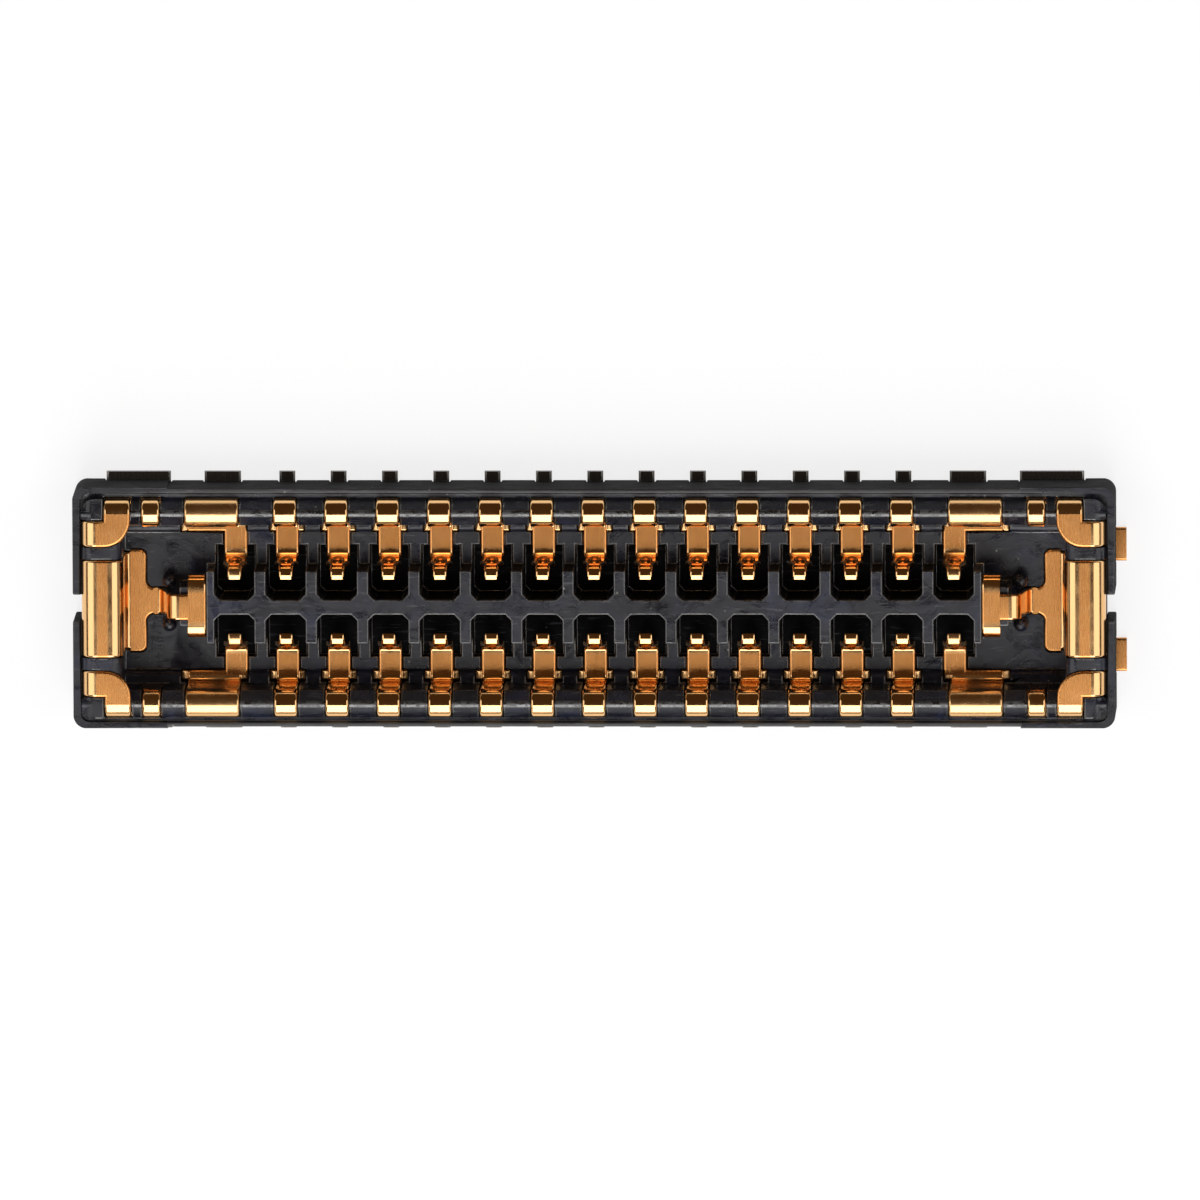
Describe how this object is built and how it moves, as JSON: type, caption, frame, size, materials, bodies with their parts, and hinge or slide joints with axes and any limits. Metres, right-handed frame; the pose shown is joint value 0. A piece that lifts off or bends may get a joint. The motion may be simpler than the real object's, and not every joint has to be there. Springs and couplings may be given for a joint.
{
  "type": "flexible printed circuit connector",
  "caption": "Low flat receptacle that joins a flexible printed circuit to a board: black moulded trough with a centre island, rows of gilt spring contacts and folded end fittings.",
  "frame": {"origin": "middle of the housing's underside, on the board", "axes": "+X along the contact rows, +Z away from the board towards the mating side"},
  "size_m": [0.0071, 0.0018, 0.0005],
  "materials": {
    "housing": "moulded liquid crystal polymer, semi-matt black",
    "contact": "gold plate over stamped copper alloy, satin",
    "hold_down": "gold plate over stamped copper alloy, satin"
  },
  "bodies": {
    "root": {"housing": "housing", "signal_contact_a1": "contact", "signal_contact_a2": "contact", "signal_contact_a3": "contact", "signal_contact_a4": "contact", "signal_contact_a5": "contact", "signal_contact_a6": "contact", "signal_contact_a7": "contact", "signal_contact_a8": "contact", "signal_contact_a9": "contact", "signal_contact_a10": "contact", "signal_contact_a11": "contact", "signal_contact_a12": "contact", "signal_contact_a13": "contact", "signal_contact_b1": "contact", "signal_contact_b2": "contact", "signal_contact_b3": "contact", "signal_contact_b4": "contact", "signal_contact_b5": "contact", "signal_contact_b6": "contact", "signal_contact_b7": "contact", "signal_contact_b8": "contact", "signal_contact_b9": "contact", "signal_contact_b10": "contact", "signal_contact_b11": "contact", "signal_contact_b12": "contact", "signal_contact_b13": "contact", "power_contact_a_left": "contact", "power_contact_a_right": "contact", "power_contact_b_left": "contact", "power_contact_b_right": "contact", "hold_down_left": "hold_down", "hold_down_right": "hold_down"}
  },
  "joints": []
}
